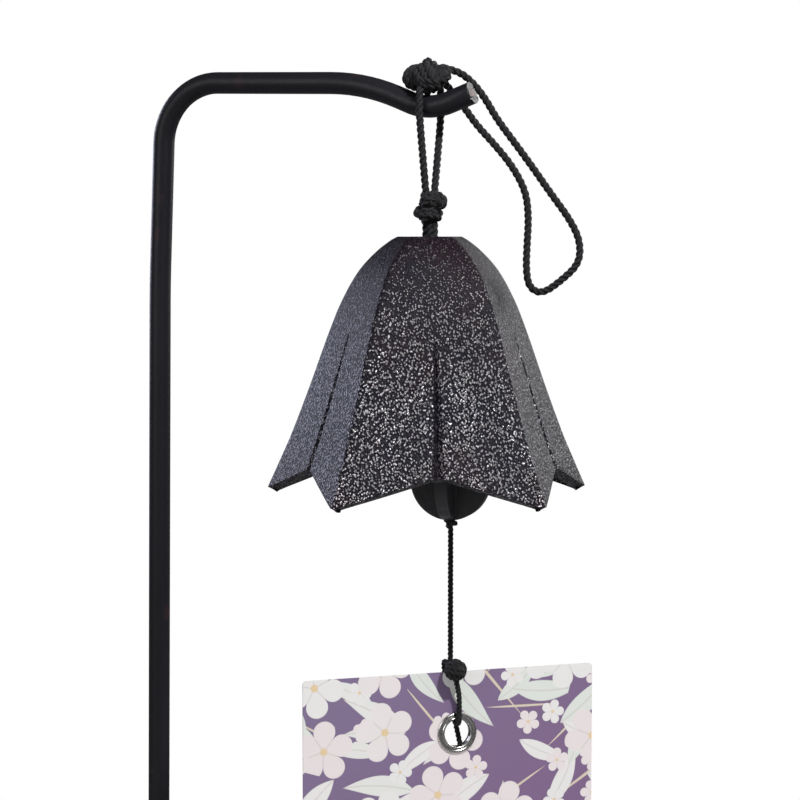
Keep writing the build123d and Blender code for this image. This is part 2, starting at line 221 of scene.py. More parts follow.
def make_world():
    """White to the camera, a dim grey in reflections and a soft even fill for everything else."""
    world = bpy.data.worlds.new("studio")
    world.use_nodes = True
    tree = Tree(world.node_tree)
    paths = tree.node("LightPath").outputs
    fill = tree.ramp(paths["Is Glossy Ray"], 0, 1, 0.36, 0.05)
    background = world.node_tree.nodes["Background"].inputs
    tree.feed(background["Color"], (1.0, 1.0, 1.0))
    shown = tree.math("MULTIPLY", paths["Is Camera Ray"], tree.math("SUBTRACT", 1.0, fill))
    tree.feed(background["Strength"], tree.math("ADD", fill, shown))
    bpy.context.scene.world = world


# Mesh helpers

def deselect():
    if bpy.context.object and bpy.context.object.mode != "OBJECT":
        bpy.ops.object.mode_set(mode="OBJECT")
    bpy.ops.object.select_all(action="DESELECT")


def activate(piece):
    deselect()
    piece.select_set(True)
    bpy.context.view_layer.objects.active = piece


@contextmanager
def editing(piece):
    """Edit mode with all of the piece chosen, and back to object mode at the end."""
    activate(piece)
    bpy.ops.object.mode_set(mode="EDIT")
    bpy.ops.mesh.select_all(action="SELECT")
    yield
    bpy.ops.object.mode_set(mode="OBJECT")


def settle(piece):
    """Puts the piece's place, turn and scale into its mesh."""
    activate(piece)
    bpy.ops.object.transform_apply(location=True, rotation=True, scale=True)


def apply_modifier(piece, kind, **settings):
    activate(piece)
    modifier = piece.modifiers.new(kind.lower(), kind)
    for name, value in settings.items():
        setattr(modifier, name, value)
    bpy.ops.object.modifier_apply(modifier=modifier.name)


def soften(piece, width, segments, angle):
    """Rounds every edge that is sharper than the angle."""
    apply_modifier(
        piece, "BEVEL", width=width, segments=segments, limit_method="ANGLE",
        angle_limit=math.radians(angle),
    )


def shade(piece, angle):
    activate(piece)
    bpy.ops.object.shade_smooth_by_angle(angle=math.radians(angle))


def join_pieces(pieces, name):
    activate(pieces[0])
    for piece in pieces[1:]:
        piece.select_set(True)
    bpy.ops.object.join()
    joined = bpy.context.object
    joined.name = name
    return joined


def dress(piece, body, slot, material, *nodes):
    """Gives a finished piece its material and its body, and hides the nodes that it stands for."""
    piece.data.materials.clear()
    piece.data.materials.append(material)
    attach(piece, body)
    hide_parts(*nodes)


def bevel_edges(piece, chosen, width, segments):
    """Rounds the edges whose two ends the chosen test picks."""
    with editing(piece):
        bpy.ops.mesh.select_mode(type="EDGE")
        bpy.ops.mesh.select_all(action="DESELECT")
        edit = bmesh.from_edit_mesh(piece.data)
        for edge in edit.edges:
            edge.select_set(chosen(*(vertex.co for vertex in edge.verts)))
        bmesh.update_edit_mesh(piece.data)
        bpy.ops.mesh.bevel(offset=width, segments=segments)


def mesh_piece(name, vertices, faces, maps):
    """A mesh object from its points and faces, with a map place for each face corner."""
    mesh = bpy.data.meshes.new(name)
    mesh.from_pydata(vertices, [], faces)
    layer = mesh.uv_layers.new(name="along")
    for loop, place in zip(layer.data, maps):
        loop.uv = place
    mesh.update()
    piece = bpy.data.objects.new(name, mesh)
    bpy.context.collection.objects.link(piece)
    return piece


# Rope

ply = 3
ply_radius_share = 0.56  # of the rope's radius, for each of its three plies
ply_swell = 1.14  # how far the crowns of the plies stand out past the rope's plain tube
lay_length_share = 2.7  # one full twist, in rope diameters
rings_per_lay = 14
sides_per_ply = 8


def spline_points(route):
    """Points along the smooth curve that has the route's points as its control points."""
    curve = bpy.data.curves.new("route", "CURVE")
    curve.dimensions = "3D"
    curve.resolution_u = 24
    spline = curve.splines.new("NURBS")
    spline.points.add(len(route) - 1)
    for point, place in zip(spline.points, route):
        point.co = (*place, 1)
    spline.order_u = 3
    spline.use_endpoint_u = True
    carrier = bpy.data.objects.new("route", curve)
    bpy.context.collection.objects.link(carrier)
    mesh = bpy.data.meshes.new_from_object(carrier)
    points = [vertex.co.copy() for vertex in mesh.vertices]
    bpy.data.objects.remove(carrier)
    bpy.data.curves.remove(curve)
    bpy.data.meshes.remove(mesh)
    return points


def even_points(points, step):
    """The same line cut into even steps."""
    lengths = [0.0]
    for here, there in zip(points, points[1:]):
        lengths.append(lengths[-1] + (there - here).length)
    count = max(2, round(lengths[-1] / step))
    even = []
    run = 0
    for index in range(count + 1):
        want = lengths[-1] * index / count
        while run < len(points) - 2 and lengths[run + 1] < want:
            run += 1
        span = lengths[run + 1] - lengths[run]
        share = (want - lengths[run]) / span if span else 0
        even.append(points[run].lerp(points[run + 1], min(1, share)))
    return even


def ply_outline(angle):
    """The rope's outer radius at an angle round it, as a share of its full radius."""
    centre_share = 1 - ply_radius_share
    sector = 2 * math.pi / ply
    off = (angle + sector / 2) % sector - sector / 2
    side = centre_share * math.sin(off)
    return centre_share * math.cos(off) + math.sqrt(ply_radius_share**2 - side**2)


def rope(name, points, diameter, twist_start=0.0):
    """A three-ply twisted rope along the points. Its map runs round the rope and along it."""
    lay = diameter * lay_length_share
    points = even_points(points, lay / rings_per_lay)
    sides = ply * sides_per_ply
    vertices = []
    faces = []
    maps = []
    tangent = (points[1] - points[0]).normalized()
    across = tangent.orthogonal().normalized()
    travelled = 0.0
    for index, point in enumerate(points):
        before = points[max(0, index - 1)]
        after = points[min(len(points) - 1, index + 1)]
        turned = (after - before).normalized()
        across = (across - turned * across.dot(turned)).normalized()
        other = turned.cross(across)
        if index:
            travelled += (point - points[index - 1]).length
        twist = twist_start + 2 * math.pi * travelled / lay
        for side in range(sides):
            angle = 2 * math.pi * side / sides
            radius = diameter / 2 * ply_swell * ply_outline(angle)
            direction = across * math.cos(angle + twist) + other * math.sin(angle + twist)
            vertices.append(point + direction * radius)
    for index in range(len(points) - 1):
        along = (index / (len(points) - 1), (index + 1) / (len(points) - 1))
        low, high = (travelled * share / lay for share in along)
        for side in range(sides):
            after = (side + 1) % sides
            base = index * sides
            faces.append((base + side, base + after, base + sides + after, base + sides + side))
            left, right = side / sides_per_ply, (side + 1) / sides_per_ply
            maps += [(left, low), (right, low), (right, high), (left, high)]
    for base in (0, (len(points) - 1) * sides):
        ring = list(range(base, base + sides))
        faces.append(ring[::-1] if base == 0 else ring)
        maps += [(0.5, 0)] * sides
    piece = mesh_piece(name, vertices, faces, maps)
    for face in piece.data.polygons:
        face.use_smooth = True
    return piece


def wrap_points(centre, radius, axis, turns, start, drift, tuck):
    """Turns of a rope round a core: drift moves along the axis, tuck sinks both ends, in mm."""
    radius, drift, tuck = radius * mm, drift * mm, tuck * mm
    end_share = 0.12
    steps_per_turn = 36
    axis = Vector(axis).normalized()
    first = axis.orthogonal().normalized()
    second = axis.cross(first)
    count = int(steps_per_turn * turns)
    points = []
    for index in range(count + 1):
        share = index / count
        angle = start + 2 * math.pi * turns * share
        end = max(0, 1 - min(share, 1 - share) / end_share)
        reach = radius - tuck * end**2
        offset = (share - 0.5) * drift
        ring = first * math.cos(angle) + second * math.sin(angle)
        points.append(centre + ring * reach + axis * offset)
    return points


def ball(name, centre, radius):
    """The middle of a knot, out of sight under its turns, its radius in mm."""
    deselect()
    bpy.ops.mesh.primitive_uv_sphere_add(
        segments=32, ring_count=16, radius=radius * mm, location=centre
    )
    core = bpy.context.object
    core.data.uv_layers.active.name = "along"
    bpy.ops.object.shade_smooth()
    settle(core)
    return core


def knot(name, cores, wraps, diameter):
    """A knot of rope wraps over one or more packed cores."""
    pieces = [ball(name, *core) for core in cores]
    for index, wrap in enumerate(wraps):
        pieces.append(rope(name, wrap, diameter, twist_start=index))
    return join_pieces(pieces, name)


def above_cap(x, y, z):
    """A place in mm from the bell's axis at its cap."""
    return hang_point + Vector((x, y, z)) * mm


# Route of the spare loop, as in the solids
loop_route = [
    above_cap(*place)
    for place in (
        (2.4, 2.0, 39.5), (5.3, 3.7, 38.9), (8.3, 5.4, 36.4), (10.9, 7.1, 32.6),
        (13.3, 8.8, 27.6), (17.1, 11.0, 21.9), (20.6, 13.0, 16.5), (24.4, 15.4, 10.2),
        (28.5, 17.8, 3.9), (30.5, 19.3, -1.2), (30.3, 19.2, -6.4), (26.6, 17.6, -10.3),
        (22.3, 15.6, -13.7), (19.5, 14.2, -12.2), (18.8, 13.9, -7.9), (19.0, 14.0, -2.0),
        (19.5, 13.7, 4.8), (18.9, 13.3, 10.7), (16.1, 11.8, 16.6), (12.0, 10.2, 21.9),
        (8.1, 8.9, 26.3), (5.1, 7.8, 30.8), (2.3, 6.2, 34.8), (0.8, 3.0, 37.8),
    )
]


def straight(x, y, top, bottom):
    """A straight route down, with a point halfway."""
    return [Vector((x, y, top)), Vector((x, y, (top + bottom) / 2)), Vector((x, y, bottom))]


# Shader groups

def make_lay_group():
    """The fibres of a twisted rope: fine slanting lines across each ply, and a painted highlight
    on the higher fibres, varied at random.
    """
    group, tree, given, made = new_group(
        "fibres",
        [("Map", "Vector", None), ("Lines", "Float", 9.0), ("Slant", "Float", 7.0)],
        ("Height", "Tint"),
    )
    across, along, _ = tree.split(given["Map"])
    slanted = tree.math("MULTIPLY", along, given["Slant"])
    phase = tree.math("MULTIPLY", tree.math("ADD", across, slanted), given["Lines"])
    wander = tree.noise(tree.join(across, tree.math("MULTIPLY", along, 3.0)), 5.0, 2.0)
    phase = tree.math("ADD", phase, tree.math("MULTIPLY", wander, 1.6))
    wave = tree.math("SINE", tree.math("MULTIPLY", phase, 2 * math.pi))
    height = tree.ramp(wave, -1, 1)
    tree.feed(made["Height"], height)
    # Painted highlight: the higher a fibre stands, the paler it is, varied by the noise
    tree.feed(made["Tint"], tree.math("MULTIPLY", height, wander))
    return group


def make_grain_group():
    """A sand-cast, painted skin: small uneven blebs with hollows between them."""
    group, tree, given, made = new_group(
        "cast_grain",
        [("Vector", "Vector", None), ("Size", "Float", 0.5)],
        ("Height", "Patches"),
    )
    scale = tree.math("DIVIDE", 1000.0, given["Size"])
    domes = tree.ramp(tree.cells(given["Vector"], scale), 0.05, 0.75, 1, 0, smooth=True)
    swell = tree.noise(given["Vector"], tree.math("MULTIPLY", scale, 0.6), 2.0, 0.5)
    height = tree.math("ADD", tree.math("MULTIPLY", domes, 0.7), tree.math("MULTIPLY", swell, 0.8))
    tree.feed(made["Height"], height)
    patches = tree.noise(given["Vector"], 55.0, 3.0, 0.6)
    tree.feed(made["Patches"], tree.ramp(patches, 0.38, 0.66))
    return group


def new_motif(name, outputs):
    """A group for one printed motif, and the two distances from the motif's own middle."""
    labels = ("Vector", "Place", "Turn", "Size")
    inputs = [(label, "Vector", None) for label in labels]
    group, tree, given, made = new_group(name, inputs, outputs)
    x, y, _ = tree.split(tree.mapping(*(given[label] for label in labels), kind="TEXTURE"))
    return group, tree, made, x, y


def make_blossom_group():
    """A round flower of five petals: its outline, the lines between its petals and its eye."""
    group, tree, made, x, y = new_motif("blossom", ("Mask", "Lines", "Eye"))
    reach = tree.length(tree.join(x, y))
    angle = tree.math("ARCTAN2", y, x)
    lobe = tree.math("ABSOLUTE", tree.math("COSINE", tree.math("MULTIPLY", angle, 2.5)))
    edge = tree.ramp(tree.math("POWER", lobe, 0.45), 0, 1, 0.42, 1.0)
    tree.feed(made["Mask"], tree.ramp(tree.math("SUBTRACT", reach, edge), -0.015, 0.015, 1, 0))
    between = tree.math("MULTIPLY", lobe, reach)
    tree.feed(made["Lines"], tree.ramp(between, 0.015, 0.09, 1, 0))
    tree.feed(made["Eye"], tree.ramp(reach, 0.10, 0.15, 1, 0))
    return group


def make_leaf_group():
    """A slender pointed leaf, or a twig when it is drawn very narrow, with its middle vein."""
    group, tree, made, x, y = new_motif("leaf", ("Mask", "Lines"))
    squared = tree.math("MULTIPLY", x, x)
    bowed = tree.math("SUBTRACT", y, tree.math("MULTIPLY", squared, 0.35))
    edge = tree.math("SUBTRACT", 1.0, squared)
    edge = tree.math("MULTIPLY", edge, tree.math("SUBTRACT", 1.0, tree.math("MULTIPLY", x, 0.35)))
    off = tree.math("ABSOLUTE", bowed)
    tree.feed(made["Mask"], tree.ramp(tree.math("SUBTRACT", off, edge), -0.04, 0.04, 1, 0))
    tree.feed(made["Lines"], tree.ramp(off, 0.03, 0.12, 1, 0))
    return group


fibres = make_lay_group()
cast_grain = make_grain_group()
blossom = make_blossom_group()
leaf = make_leaf_group()


# Materials

def make_cord_material(name, dark, light, palest):
    """Twisted yarn, painted dark in its grooves as shade and light on its fibres' crowns as a
    painted highlight, fully light where that highlight reaches palest.
    """
    material, tree, shader = new_material(
        name, Roughness=0.6, Specular_IOR_Level=0.25, Sheen_Weight=0.03, Sheen_Roughness=0.4
    )
    lay = tree.group(fibres, Map=tree.map_place())
    # Painted shade in the grooves, painted highlight on the crowns
    tree.feed(shader["Base Color"], tree.mix(tree.ramp(lay["Tint"], 0.1, palest), dark, light))
    tree.feed(shader["Normal"], tree.bump(lay["Height"], 0.55, 0.05 * mm))
    return material


def make_iron_material():
    """Black-painted sand casting: charcoal, a warm cast in places, and painted glints on pale
    metallic bleb crowns, sparser near the top as painted shade.
    """
    material, tree, shader = new_material("cast_iron", Specular_IOR_Level=0.12)
    place = tree.mapping(tree.surface_place(), turn=(0, 0.6, 0), scale=(1, 1, 0.72))
    grain = tree.group(cast_grain, Vector=place)
    ground = tree.mix(grain["Patches"], (0.003, 0.003, 0.007), (0.007, 0.003, 0.006))
    # Painted shade: towards the cap the crowns are lowered, so fewer painted glints show on the
    # upturned top
    shade_top = cap_z - 2 * mm
    shade_end = cap_z - 36 * mm
    _, _, up = tree.split(tree.surface_place())
    top_shade = tree.ramp(up, shade_top, shade_end, 0.24, 0, smooth=True)
    crowns = tree.math("SUBTRACT", grain["Height"], top_shade)
    # Painted glints: the highest crowns turn pale and metallic, standing in for the glints of the
    # paint's grain
    wear_and_glints = tree.ramp(crowns, 0.68, 1.02)
    tree.feed(shader["Base Color"], tree.mix(wear_and_glints, ground, (0.34, 0.33, 0.35)))
    tree.feed(shader["Metallic"], tree.ramp(wear_and_glints, 0, 0.3))
    tree.feed(shader["Roughness"], tree.ramp(crowns, 0.5, 1.0, 0.50, 0.22))
    tree.feed(shader["Normal"], tree.bump(grain["Height"], 1.0, 0.21 * mm))
    return material


def make_gloss_iron_material():
    """Smooth black paint on the clapper, with a faint orange peel."""
    material, tree, shader = new_material("clapper_paint", Specular_IOR_Level=0.5)
    place = tree.surface_place()
    peel = tree.noise(place, 900.0, 2.0)
    smears = tree.noise(place, 130.0, 3.0)
    tree.feed(shader["Base Color"], tree.mix(smears, (0.012, 0.012, 0.014), (0.026, 0.026, 0.03)))
    tree.feed(shader["Roughness"], tree.ramp(smears, 0.3, 0.7, 0.26, 0.42))
    tree.feed(shader["Normal"], tree.bump(peel, 0.25, 0.05 * mm))
    return material


def make_rod_material():
    """Satin black paint with a fine texture and a few reddish patches that are painted
    reflections.
    """
    material, tree, shader = new_material("satin_paint", Specular_IOR_Level=0.22)
    place = tree.surface_place()
    texture = tree.noise(place, 1500.0, 2.0)
    # Painted reflection: reddish patches at random places along the rod
    reddish_reflections = tree.ramp(tree.noise(place, 60.0, 4.0, 0.65), 0.62, 0.74)
    black = tree.mix(tree.noise(place, 25.0), (0.005, 0.005, 0.007), (0.010, 0.010, 0.013))
    tree.feed(shader["Base Color"], tree.mix(reddish_reflections, black, (0.03, 0.012, 0.013)))
    tree.feed(shader["Roughness"], tree.ramp(texture, 0.3, 0.7, 0.36, 0.48))
    tree.feed(shader["Normal"], tree.bump(texture, 0.3, 0.05 * mm))
    return material


def make_cut_material():
    """The sawn end of the rod: bare steel with saw marks and a pinkish bloom."""
    material, tree, shader = new_material("cut_steel", Specular_IOR_Level=0.15)
    place = tree.surface_place()
    marks = tree.noise(tree.mapping(place, turn=(0.5, 0, 0), scale=(1, 6, 1)), 700.0, 3.0)
    bloom = tree.ramp(tree.noise(place, 420.0, 3.0), 0.35, 0.65)
    tree.feed(shader["Base Color"], tree.mix(bloom, (0.05, 0.032, 0.028), (0.13, 0.10, 0.095)))
    tree.feed(shader["Roughness"], tree.ramp(marks, 0.3, 0.7, 0.42, 0.65))
    tree.feed(shader["Normal"], tree.bump(marks, 0.6, 0.08 * mm))
    return material


def make_nickel_material():
    material, tree, shader = new_material("nickel_plate", Metallic=1.0)
    place = tree.surface_place()
    # Real wear of the plating only: duller, darker patches at random
    wear_and_glints = tree.ramp(tree.noise(place, 600.0, 3.0, 0.6), 0.35, 0.7)
    tree.feed(shader["Base Color"], tree.mix(wear_and_glints, (0.82, 0.81, 0.79), (0.60, 0.59, 0.57)))
    tree.feed(shader["Roughness"], tree.ramp(wear_and_glints, 0, 1, 0.18, 0.36))
    return material


def make_steel_material():
    material, tree, shader = new_material("plain_steel", Metallic=1.0)
    turned = tree.noise(tree.mapping(tree.surface_place(), scale=(1, 1, 8)), 900.0, 2.0)
    tree.feed(shader["Base Color"], tree.mix(turned, (0.42, 0.42, 0.43), (0.56, 0.56, 0.57)))
    tree.feed(shader["Roughness"], tree.ramp(turned, 0.3, 0.7, 0.25, 0.45))
    return material


def make_rubber_material():
    material, tree, shader = new_material("foot_rubber", Specular_IOR_Level=0.3)
    grain = tree.noise(tree.surface_place(), 1200.0, 3.0)
    tree.feed(shader["Base Color"], tree.mix(grain, (0.012, 0.012, 0.012), (0.03, 0.03, 0.03)))
    tree.feed(shader["Roughness"], tree.ramp(grain, 0.3, 0.7, 0.75, 0.95))
    tree.feed(shader["Normal"], tree.bump(grain, 0.3, 0.1 * mm))
    return material


# Colours of the card's print
petal_white = (0.54, 0.53, 0.525)
petal_pink = (0.54, 0.49, 0.495)
petal_mint = (0.49, 0.51, 0.48)
twig_cream = (0.46, 0.40, 0.32)
eye_ochre = (0.52, 0.40, 0.24)
line_brown = (0.36, 0.30, 0.30)
card_grey_purple = (0.145, 0.108, 0.190)
card_purple = (0.145, 0.087, 0.172)


def make_card_material():
    """Purple card, greyer towards its upper left, strewn with pale blossoms, leaves and twigs."""
    material, tree, shader = new_material("printed_card", Roughness=0.62, Specular_IOR_Level=0.3)
    place = string_point + Vector((0, 0, strip_top * mm))
    card = tree.mapping(
        tree.surface_place(), place, (0, 0, strip_yaw), (mm, mm, mm), kind="TEXTURE"
    )
    across, _, down = tree.split(card)
    flat = tree.join(across, down)
    slope = tree.math("SUBTRACT", across, tree.math("MULTIPLY", down, 1.1))
    slope = tree.math("ADD", slope, tree.math("MULTIPLY", tree.noise(flat, 0.05, 3.0), 24.0))
    colour = tree.mix(tree.ramp(slope, -20, 80), card_grey_purple, card_purple)
    crowding = tree.ramp(slope, -45, 60, 0.0, 0.45)

    def strew(group, spacing, shift, size, share, first, second, colour):
        """One motif in each cell of an uneven grid, each with its own turn and tone."""
        step = 1 / spacing
        grid = tree.mapping(flat, (*shift, 0), scale=(step, step, 1))
        given = {"Vector": grid, "Scale": 1.0, "Randomness": 0.5}
        cell = tree.node("TexVoronoi", given, voronoi_dimensions="2D").outputs
        spin, chance, pick = tree.split(cell["Color"])
        turn = tree.join(0.0, 0.0, tree.math("MULTIPLY", spin, 2 * math.pi))
        drawn = tree.group(group, Vector=grid, Place=cell["Position"], Turn=turn, Size=size)
        tone = tree.mix(tree.ramp(pick, 0.48, 0.52), first, second)
        tone = tree.mix(tree.math("MULTIPLY", drawn["Lines"], 0.4), tone, line_brown)
        if group == blossom:
            tone = tree.mix(drawn["Eye"], tone, eye_ochre)
        present = tree.math("LESS_THAN", chance, tree.math("ADD", share, crowding))
        return tree.mix(tree.math("MULTIPLY", drawn["Mask"], present), colour, tone)

    for spacing, shift in ((31.0, (0.1, 0.35)), (23.0, (0.6, 0.8))):
        size = (0.48, 0.012, 1)
        colour = strew(leaf, spacing, shift, size, 0.6, twig_cream, twig_cream, colour)
    for spacing, shift, share in (
        (17.0, (0.31, 0.12), 0.55),
        (15.0, (0.83, 0.47), 0.45),
        (19.0, (0.15, 0.71), 0.5),
    ):
        size = (0.47, 0.13, 1)
        colour = strew(leaf, spacing, shift, size, share, petal_white, petal_mint, colour)
    for spacing, shift, size, share in (
        (10.0, (0.4, 0.4), (0.3, 0.3, 1), 0.2),
        (16.5, (0.2, 0.15), (0.44, 0.44, 1), 0.5),
    ):
        colour = strew(blossom, spacing, shift, size, share, petal_pink, petal_white, colour)
    fibre = tree.noise(tree.surface_place(), 2500.0, 3.0, 0.6)
    tree.feed(shader["Base Color"], colour)
    tree.feed(shader["Normal"], tree.bump(fibre, 0.12, 0.03 * mm))
    return material


def make_floor_material():
    """A pale floor that runs out to white at its edge, and that looks darker in reflections."""
    material, tree, shader = new_material("floor", Roughness=0.9)
    nodes = material.node_tree.nodes
    glow = tree.node("Emission")
    mirrored = tree.node("LightPath").outputs["Is Glossy Ray"]
    tree.feed(shader["Base Color"], tree.mix(mirrored, (0.86, 0.86, 0.86), (0.15, 0.15, 0.15)))
    tree.feed(glow.inputs["Strength"], tree.ramp(mirrored, 0, 1, 1.0, 0.15))
    edge = tree.ramp(tree.length(tree.surface_place()), 0.16, 0.55, smooth=True)
    shaders = (edge, nodes["Principled BSDF"].outputs[0], glow.outputs[0])
    blend = tree.node("MixShader", shaders)
    tree.feed(nodes["Material Output"].inputs["Surface"], blend.outputs[0])
    return material


def make_floor():
    bpy.ops.mesh.primitive_circle_add(vertices=96, radius=0.8, fill_type="NGON")
    floor = bpy.context.object
    floor.name = "floor"
    floor.data.materials.append(make_floor_material())


deselect()
make_camera()
make_lamps()
make_world()
make_floor()
bpy.context.scene.view_settings.view_transform = "Standard"

cord_black = make_cord_material("cord_yarn", (0.003, 0.003, 0.004), (0.020, 0.020, 0.023), 0.6)
string_black = make_cord_material("string_yarn", (0.004, 0.004, 0.005), (0.018, 0.018, 0.02), 0.7)
iron = make_iron_material()
gloss_iron = make_gloss_iron_material()
satin_paint = make_rod_material()
cut_steel = make_cut_material()
nickel = make_nickel_material()
plain_steel = make_steel_material()
foot_rubber = make_rubber_material()
printed_card = make_card_material()


# Hanging cord

def make_free_loop():
    path = spline_points(loop_route)
    loop = rope("spare_loop", path, cord_diameter)
    dress(loop, "hanger", "cord_black", cord_black, "free_loop")


def make_strands():
    """The two taut strands, each over its own side of the arm into the lower knot."""
    for side, node in ((-1, "front_strand"), (1, "back_strand")):
        route = [
            above_cap(side * 1.1, side * 2.2, 35.9),
            above_cap(side * 1.1, side * 3.5, 34.6),
            above_cap(side * 1.1, side * 3.78, 31.6),
            above_cap(side * 1.1, side * 3.7, 28.2),
            above_cap(side * 1.0, side * 2.2, 19.5),
            above_cap(side * 0.9, side * 0.5, 10.3),
        ]
        strand = rope(node + "_rope", spline_points(route), cord_diameter, twist_start=side)
        dress(strand, "hanger", "cord_black", cord_black, node)


def make_top_knot():
    """The wound knot on the arm: a big lump of close turns, a left lobe and a right one."""
    centre = above_cap(-0.3, -0.2, 37.2)
    left = centre + Vector((-3.4, 0.1, 0.1)) * mm
    right = centre + Vector((2.9, 0.4, 0.6)) * mm
    top = centre + Vector((-0.4, 0.2, 3.4)) * mm
    cores = [(centre, 3.3), (left, 2.6), (right, 1.9), (top, 0.8)]
    wraps = [
        wrap_points(centre, 3.0, (0.9, 0.25, 0.35), 3.2, 0.4, 4.6, 1.2),
        wrap_points(centre, 3.2, (0.35, -0.3, 0.9), 2.1, 2.0, 2.2, 1.2),
        wrap_points(left, 2.2, (0.85, -0.75, 0.1), 2.2, 1.0, 2.3, 1.0),
        wrap_points(left, 1.1, (0.85, -0.75, 0.1), 1.2, 1.0, 3.6, 0.3),
        wrap_points(right, 1.6, (0.8, -0.5, 0.4), 2.2, 0.0, 2.2, 0.8),
        wrap_points(top, 0.5, (0.2, 1.0, 0.3), 1.0, 0.5, 0.4, 0.2),
    ]
    top_knot = knot("upper_knot", cores, wraps, cord_diameter)
    dress(top_knot, "hanger", "cord_black", cord_black, "top_knot")


def make_lower_knot():
    """Two wound lumps, one over the other, with a bulge on the upper one and a low nub."""
    low = above_cap(0, 0, 5.2)
    high = above_cap(0.2, 0, 8.3)
    bulge = high + Vector((2.2, -0.4, 0.1)) * mm
    nub = low + Vector((-2.5, -0.5, 0.6)) * mm
    cores = [(low, 2.3), (high, 2.4), (bulge, 1.7), (nub, 1.2)]
    wraps = [
        wrap_points(low, 2.05, (0.15, 0.25, 1.0), 2.1, 1.0, 2.2, 0.9),
        wrap_points(low, 2.1, (0.75, 0.3, -0.6), 1.2, 0.0, 1.2, 0.9),
        wrap_points(high, 2.1, (-0.5, 0.35, 0.8), 2.1, 2.5, 2.2, 0.9),
        wrap_points(high, 2.15, (0.7, 0.25, 0.65), 1.3, 5.0, 1.2, 0.9),
        wrap_points(bulge, 1.35, (0.2, 1.0, 0.3), 1.8, 0.5, 1.6, 0.5),
        wrap_points(nub, 0.75, (0.3, 0.9, -0.4), 1.4, 0.5, 1.0, 0.3),
    ]
    lower_knot = knot("collar_knot", cores, wraps, cord_diameter)
    dress(lower_knot, "hanger", "cord_black", cord_black, "lower_knot")


def make_neck():
    """Three strands side by side through the cap's hole, from the lower knot to the stopper."""
    spread = 1.05
    into_knot = 1.4 * mm
    strands = []
    for index, (side, front) in enumerate(((-1, 0), (0.1, -0.5), (1, 0.1))):
        x = hang_x + side * spread * mm
        line = straight(x, front * mm, neck_high.z + into_knot, neck_low.z)
        strands.append(rope("neck", line, cord_diameter, twist_start=index))
    dress(join_pieces(strands, "neck_strands"), "neck", "cord_black", cord_black, "neck_cord")


def make_stopper_knot():
    low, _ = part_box("stopper_knot")
    half_height = 3.9 * mm
    centre = Vector((hang_x, 0, low.z + half_height))
    wraps = [
        wrap_points(centre, 3.1, (0.3, 0.3, 1.0), 1.2, 1.0, 0.9, 1.2),
        wrap_points(centre, 3.1, (0.8, -0.4, 0.55), 1.3, 3.0, 1.8, 1.2),
        wrap_points(centre, 3.0, (-0.3, 1.0, 0.5), 1.2, 2.0, 1.4, 1.2),
    ]
    stopper = knot("inner_knot", [(centre, 3.0)], wraps, cord_diameter)
    dress(stopper, "neck", "cord_black", cord_black, "stopper_knot")


make_free_loop()
make_strands()
make_top_knot()
make_lower_knot()
make_neck()
make_stopper_knot()


# Strings

def make_taut_string(name, node, body):
    """A straight run of string, each end of it tucked a little way into its knot."""
    low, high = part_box(node)
    tuck = 0.9 * mm
    tucked = straight(string_x, 0, high.z + tuck, low.z - tuck)
    string = rope(name, tucked, string_diameter)
    dress(string, body, "string_black", string_black, node)


def make_small_knot(name, node, body, core_radius, axes):
    """A tight knot of the thin string, one wrap for each axis, its core's radius in mm."""
    low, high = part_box(node)
    centre = (low + high) / 2
    wraps = [
        wrap_points(centre, core_radius, axis, 1.15, 2 * index, 0.5, 0.6)
        for index, axis in enumerate(axes)
    ]
    pulled_diameter = 1.1 * mm
    small = knot(name, [(centre, core_radius)], wraps, pulled_diameter)
    dress(small, body, "string_black", string_black, node)


make_taut_string("clapper_cord", "clapper_string", "clapper")
make_taut_string("strip_cord", "strip_string", "strip_string")
make_small_knot("upper_tie", "string_tie", "tie", 1.3, ((0.3, 0.3, 1), (0.9, -0.2, 0.3)))
make_small_knot(
    "clapper_tie", "clapper_knot", "clapper", 1.15, ((0.4, 0.3, 1), (0.9, 0.3, -0.4))
)


# Bell casting

petals = 5
petal_turn = 2 * math.pi / petals
half_petal = petal_turn / 2
bell_height = 60.5
tip_radius = 40.8
bell_yaw = math.radians(-26.3)
bell_wall = 2.7
notch_rise = 6.2
shoulder_rise = 0.8
ridge_round = 0.8  # how far the rounding of a ridge reaches along each facet
groove_start = 22.0  # depth below the cap
groove_fade = 4.0
groove_half_width_top = 0.5
groove_half_width_rim = 1.6
groove_depth_rim = 1.9
groove_start_share = 0.4  # of the rim's groove depth, where a groove sets in
groove_lip_share = 0.9  # of a groove's half width, where its wall rounds into the facet
groove_lip_sink = 0.06
groove_left_share = 0.7  # a groove's left wall is the steeper one
cap_hole_radius = 2.2
rim_round = 0.55

# The ridge line: (depth below the cap, radius)
ridge_line = (
    (0.0, 8.6), (3.2, 13.0), (8.05, 17.67), (15.25, 21.95), (23.3, 25.38), (36.3, 30.27),
    (47.8, 34.88), (54.45, 37.94), (bell_height, tip_radius),
)


def ridge_radius(depth):
    """The ridge's distance from the axis, on a smooth line through the ridge_line places."""
    line = ridge_line
    index = 0
    while index < len(line) - 2 and line[index + 1][0] < depth:
        index += 1
    (low, start), (high, end) = line[index], line[index + 1]

    def slope(at):
        before, after = line[max(0, at - 1)], line[min(len(line) - 1, at + 1)]
        return (after[1] - before[1]) / (after[0] - before[0])

    span = high - low
    share = (depth - low) / span
    rise = (1 + 2 * share) * (1 - share) ** 2 * start + share**2 * (3 - 2 * share) * end
    lean = share * (1 - share) ** 2 * slope(index) - share**2 * (1 - share) * slope(index + 1)
    return rise + span * lean


